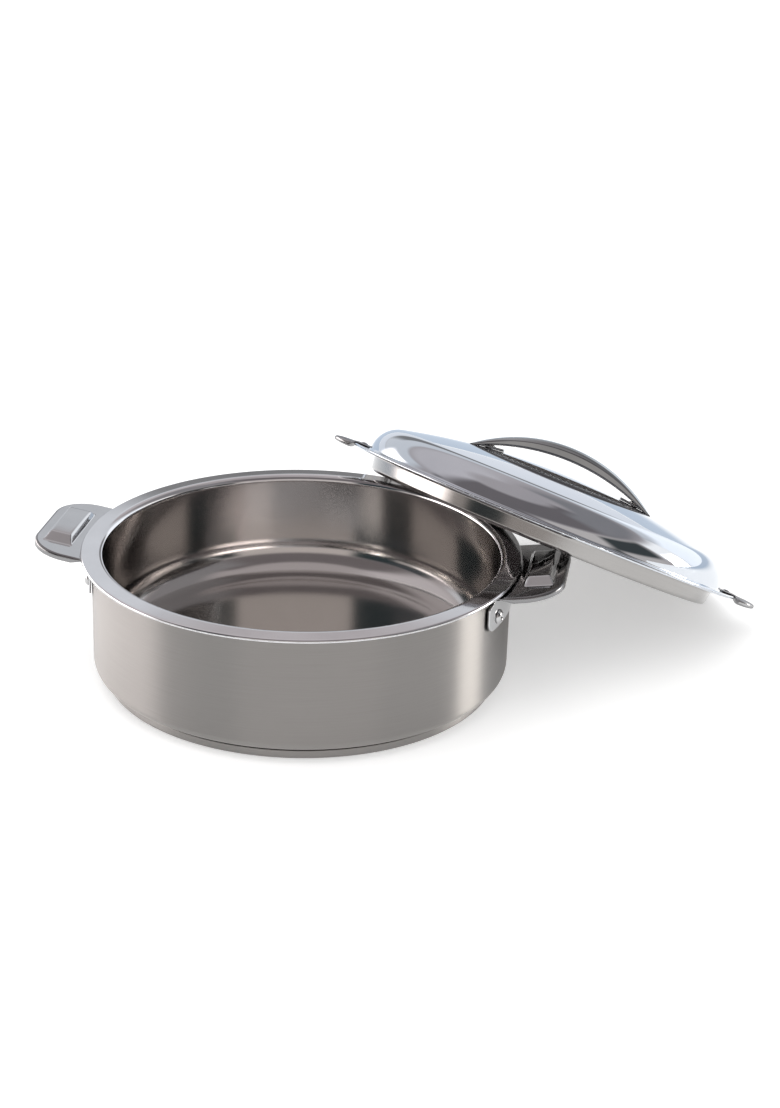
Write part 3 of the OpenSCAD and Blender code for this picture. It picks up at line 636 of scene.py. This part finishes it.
# Painted light: the strap's inner side gets the second material through the solidify. That material is pale
# warm steel, which stands in for the light that reaches the underside, so the underside and its mirror image
# in the dome read light.
strap.data.materials.append(
    polished_steel("strap_inside_painted_light", (0.84, 0.8, 0.755), (0.92, 0.885, 0.84), 0.68, 0.05))
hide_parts("lid_handle")
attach(strap, "lid")
for strap_fixing in ("lid_handle_rivets", "lid_handle_washers"):
    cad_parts[strap_fixing].data.materials.clear()
    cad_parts[strap_fixing].data.materials.append(fixing_steel)


# Floor: a plain pale sheet that the pot stands on. It is white to the camera and in reflections, and
# keeps the soft shadow of the pot and the lid.
def seen_directly(tree):
    """Socket that is 1 for rays from the camera, in reflections and through glass, and 0 for other light."""
    rays = add_node(tree, "ShaderNodeLightPath")
    first = add_node(tree, "ShaderNodeMath", operation="MAXIMUM")
    second = add_node(tree, "ShaderNodeMath", operation="MAXIMUM")
    tree.links.new(rays.outputs["Is Camera Ray"], first.inputs[0])
    tree.links.new(rays.outputs["Is Glossy Ray"], first.inputs[1])
    tree.links.new(first.outputs[0], second.inputs[0])
    tree.links.new(rays.outputs["Is Transmission Ray"], second.inputs[1])
    return second.outputs[0]


floor_around, floor_level, floor_reach = 96, -0.0002, 14
floor_r = np.concatenate([[0.02], np.geomspace(0.1, floor_reach, 40)])
floor_rings = carried_round(np.stack([floor_r, np.full(len(floor_r), floor_level)], -1), floor_around)
floor_quads = grid_quads(len(floor_r), floor_around)[:, [0, 3, 2, 1]]
floor = make_piece("floor", floor_rings, [floor_quads, np.arange(floor_around)[None]])
paper = bpy.data.materials.new("pale_paper")
paper.use_nodes = True
paper_tree = paper.node_tree
paper_skin = paper_tree.nodes["Principled BSDF"]
paper_skin.inputs["Base Color"].default_value = (0.84, 0.84, 0.84, 1)
paper_skin.inputs["Roughness"].default_value = 0.9
paper_skin.inputs["Specular IOR Level"].default_value = 0.1
paper_skin.inputs["Emission Color"].default_value = (1, 1, 1, 1)
paper_glow = add_node(paper_tree, "ShaderNodeMath", {1: 0.4}, operation="MULTIPLY")
paper_tree.links.new(seen_directly(paper_tree), paper_glow.inputs[0])
paper_tree.links.new(paper_glow.outputs[0], paper_skin.inputs["Emission Strength"])
floor.data.materials.append(paper)


# Tent: the round cloth tent of a product studio, seen only in reflections. Its grey cloth carries pale,
# bright and dark panels with soft edges, which give the steel its lights and darks.
def reflections_only(piece):
    """Hides a piece of the studio from all rays but those of reflections."""
    piece.visible_camera = piece.visible_diffuse = piece.visible_shadow = False
    piece.visible_transmission = piece.visible_volume_scatter = False


def glow_only(name):
    """New material with no shader yet; returns it with its node tree."""
    material = bpy.data.materials.new(name)
    material.use_nodes = True
    material.node_tree.nodes.remove(material.node_tree.nodes["Principled BSDF"])
    return material, material.node_tree


tent_r, tent_rows, tent_around = 3.0, 48, 96
tent_up = np.linspace(-0.02, math.pi / 2 - 0.01, tent_rows)
tent_rings = carried_round(tent_r * np.stack([np.cos(tent_up), np.sin(tent_up)], -1), tent_around)
tent_quads = grid_quads(tent_rows, tent_around)[:, [0, 3, 2, 1]]
tent_cap = np.arange(len(tent_rings) - tent_around, len(tent_rings))[None]
tent = make_piece("tent", tent_rings, [tent_quads, tent_cap])
cloth, cloth_tree = glow_only("tent_cloth")
cloth_glow = add_node(cloth_tree, "ShaderNodeEmission", {"Strength": 1.0})
cloth_place = add_node(cloth_tree, "ShaderNodeTexCoord")
cloth_way = add_node(cloth_tree, "ShaderNodeVectorMath", operation="NORMALIZE")
cloth_level = add_node(cloth_tree, "ShaderNodeVectorMath", {1: (1, 1, 0)}, operation="MULTIPLY")
cloth_round = add_node(cloth_tree, "ShaderNodeVectorMath", operation="NORMALIZE")
cloth_up = add_node(cloth_tree, "ShaderNodeSeparateXYZ")
cloth_tree.links.new(cloth_glow.outputs[0], cloth_tree.nodes["Material Output"].inputs["Surface"])
cloth_tree.links.new(cloth_place.outputs["Object"], cloth_way.inputs[0])
cloth_tree.links.new(cloth_way.outputs["Vector"], cloth_level.inputs[0])
cloth_tree.links.new(cloth_level.outputs["Vector"], cloth_round.inputs[0])
cloth_tree.links.new(cloth_way.outputs["Vector"], cloth_up.inputs[0])
tent_front = -78.9


def cloth_panel(under, colour, azimuth, half_width, low, high, soft, soft_up):
    """Tent colour with one soft-edged panel over it: the panel spans half_width degrees to each side of an
    azimuth, which is counted from the front to the right, and lies between two elevations. Its share is the
    product of three smooth steps: at its sides, at its foot and at its top."""
    a = math.radians(azimuth + tent_front)
    toward = add_node(cloth_tree, "ShaderNodeVectorMath", {1: (math.cos(a), math.sin(a), 0)},
                      operation="DOT_PRODUCT")
    cloth_tree.links.new(cloth_round.outputs["Vector"], toward.inputs[0])
    sides = [math.cos(math.radians(v)) for v in (min(half_width + soft, 180), max(half_width - soft, 0))]
    foot_edge = [math.sin(math.radians(v)) for v in (low - soft_up, low + soft_up)]
    top_edge = [math.sin(math.radians(v)) for v in (high + soft_up, high - soft_up)]
    share = None
    for source, (start, full) in ((toward.outputs["Value"], sides), (cloth_up.outputs["Z"], foot_edge),
                                  (cloth_up.outputs["Z"], top_edge)):
        step = add_node(cloth_tree, "ShaderNodeMapRange", {1: start, 2: full, 3: 0.0, 4: 1.0},
                        interpolation_type="SMOOTHSTEP")
        cloth_tree.links.new(source, step.inputs[0])
        if share is None:
            share = step.outputs[0]
            continue
        both = add_node(cloth_tree, "ShaderNodeMath", operation="MULTIPLY")
        cloth_tree.links.new(share, both.inputs[0])
        cloth_tree.links.new(step.outputs[0], both.inputs[1])
        share = both.outputs[0]
    mix = add_node(cloth_tree, "ShaderNodeMix", data_type="RGBA")
    mix.inputs[7].default_value = (*colour, 1)
    cloth_tree.links.new(share, mix.inputs["Factor"])
    if isinstance(under, tuple):
        mix.inputs[6].default_value = (*under, 1)
    else:
        cloth_tree.links.new(under, mix.inputs[6])
    return mix.outputs[2]


# colour, azimuth, half width, low and high elevation, softness at the sides and at foot and top
cloth_colour = (0.48, 0.44, 0.445)
for panel in (((0.62, 0.57, 0.545), 0, 84, -6, 33, 10, 3),         # pale cloth all along the front
              ((0.19, 0.17, 0.175), 0, 90, 34, 70, 10, 4),         # dark cloth above it
              ((0.06, 0.068, 0.07), 62, 20, 8, 30, 5, 3),          # dark gap at the front right
              ((0.66, 0.62, 0.635), -140, 55, 34, 72, 15, 6),      # pale roof at the back left
              ((0.28, 0.27, 0.28), 100, 45, 34, 62, 12, 5),        # grey roof at the right
              ((0.76, 0.78, 0.82), 180, 70, 8, 31, 10, 2),         # white cloth at the back
              ((0.88, 0.91, 0.97), 180, 70, -6, 8, 10, 1),         # whiter cloth low at the back
              ((0.25, 0.25, 0.255), 170, 20, 9, 19, 5, 1.5),       # dark slot in the back cloth
              ((5.4, 5.0, 4.85), -110, 31, -6, 18, 10, 4),         # bright lamp cloth at the left
              ((0.05, 0.06, 0.068), -64, 26, 20, 34, 8, 2),        # dark gap above its front edge
              ((0.03, 0.045, 0.05), -46, 13, 6, 32, 5, 4),         # dark gap at the front left
              ((1.3, 1.34, 1.4), 130, 22, -6, 24, 6, 4),           # lit cloth at the back right
              ((1.3, 1.28, 1.26), 98, 12, 8, 28, 3, 4),            # lit cloth at the right
              ((13.5, 12.9, 12.2), 97.5, 8.5, -8, 13, 1, 4)):      # narrow lamp cloth low at the right
    cloth_colour = cloth_panel(cloth_colour, *panel)
cloth_tree.links.new(cloth_colour, cloth_glow.inputs["Color"])
tent.data.materials.append(cloth)
reflections_only(tent)


# Back cloth: a pale, cool cloth that lies on the table behind the set, seen only in reflections. It
# fades in from its near edge, and gives the crown of the dome its blue.
cloth_left, cloth_right, cloth_near, cloth_far, cloth_full = -1.6, 2.0, 0.24, 2.4, 0.6
cloth_corners = [(cloth_left, cloth_near, 0), (cloth_right, cloth_near, 0),
                 (cloth_right, cloth_far, 0), (cloth_left, cloth_far, 0)]
back_cloth = make_piece("back_cloth", cloth_corners, [np.arange(4)[None]])
cool_cloth, cool_tree = glow_only("cool_cloth")
cool_place = add_node(cool_tree, "ShaderNodeTexCoord")
cool_split = add_node(cool_tree, "ShaderNodeSeparateXYZ")
cool_share = add_node(cool_tree, "ShaderNodeMapRange", {1: cloth_near, 2: cloth_full, 3: 0.0, 4: 1.0},
                      interpolation_type="SMOOTHSTEP")
cool_clear = add_node(cool_tree, "ShaderNodeBsdfTransparent")
cool_glow = add_node(cool_tree, "ShaderNodeEmission", {"Color": (0.62, 0.705, 0.82, 1)})
cool_mix = add_node(cool_tree, "ShaderNodeMixShader")
cool_tree.links.new(cool_place.outputs["Object"], cool_split.inputs[0])
cool_tree.links.new(cool_split.outputs["Y"], cool_share.inputs[0])
cool_tree.links.new(cool_share.outputs[0], cool_mix.inputs[0])
cool_tree.links.new(cool_clear.outputs[0], cool_mix.inputs[1])
cool_tree.links.new(cool_glow.outputs[0], cool_mix.inputs[2])
cool_tree.links.new(cool_mix.outputs[0], cool_tree.nodes["Material Output"].inputs["Surface"])
back_cloth.data.materials.append(cool_cloth)
reflections_only(back_cloth)


# Light: an even white surround, a little dimmer as light than to the eye, and one soft square lamp from
# the upper left that faces the pot and doesn't show in reflections.
world = bpy.data.worlds.new("studio")
bpy.context.scene.world = world
world.use_nodes = True
world_tree = world.node_tree
surround = world_tree.nodes["Background"]
surround.inputs["Color"].default_value = (1, 1, 1, 1)
surround_level = add_node(world_tree, "ShaderNodeMapRange", {1: 0.0, 2: 1.0, 3: 0.9, 4: 1.0})
world_tree.links.new(seen_directly(world_tree), surround_level.inputs[0])
world_tree.links.new(surround_level.outputs[0], surround.inputs["Strength"])
key_place, key_target, key_side, key_power = Vector((-0.5, -0.4, 1.5)), Vector((0, 0, 0.04)), 1.5, 8.0
key_lamp = bpy.data.lights.new("key", "AREA")
key_lamp.shape = "SQUARE"
key_lamp.size = key_side
key_lamp.energy = key_power
key_lamp.color = (1.0, 0.98, 0.96)
key = bpy.data.objects.new("key", key_lamp)
key.location = key_place
key.rotation_euler = (key_target - key_place).to_track_quat("-Z", "Y").to_euler()
key.visible_glossy = False
bpy.context.scene.collection.objects.link(key)


# Camera: stands in front of the pot and a little to its right, and looks down on it.
def aim_camera(place, heading, pitch, roll, lens):
    """Camera turned by heading about +Z from +Y, tilted down by pitch and rolled by roll, in degrees."""
    h, p, r = (math.radians(v) for v in (heading, pitch, roll))
    side = np.array([math.cos(h), math.sin(h), 0])
    level = np.array([-math.sin(h), math.cos(h), 0])
    ahead = level * math.cos(p) + np.array([0, 0, -math.sin(p)])
    above = level * math.sin(p) + np.array([0, 0, math.cos(p)])
    right, up = math.cos(r) * side + math.sin(r) * above, -math.sin(r) * side + math.cos(r) * above
    camera = bpy.data.objects.new("camera", bpy.data.cameras.new("camera"))
    camera.data.lens, camera.data.sensor_width = lens, 36
    camera.data.clip_start, camera.data.clip_end = 0.05, 60
    bpy.context.scene.collection.objects.link(camera)
    turn = np.eye(4)
    turn[:3, 0], turn[:3, 1], turn[:3, 2], turn[:3, 3] = right, up, -ahead, place
    camera.matrix_world = Matrix(turn.tolist())
    bpy.context.scene.camera = camera


aim_camera(place=(0.1951, -0.9960, 0.4943), heading=8.5, pitch=22.85, roll=1.83, lens=68.36)
bpy.context.scene.view_settings.view_transform = "Standard"
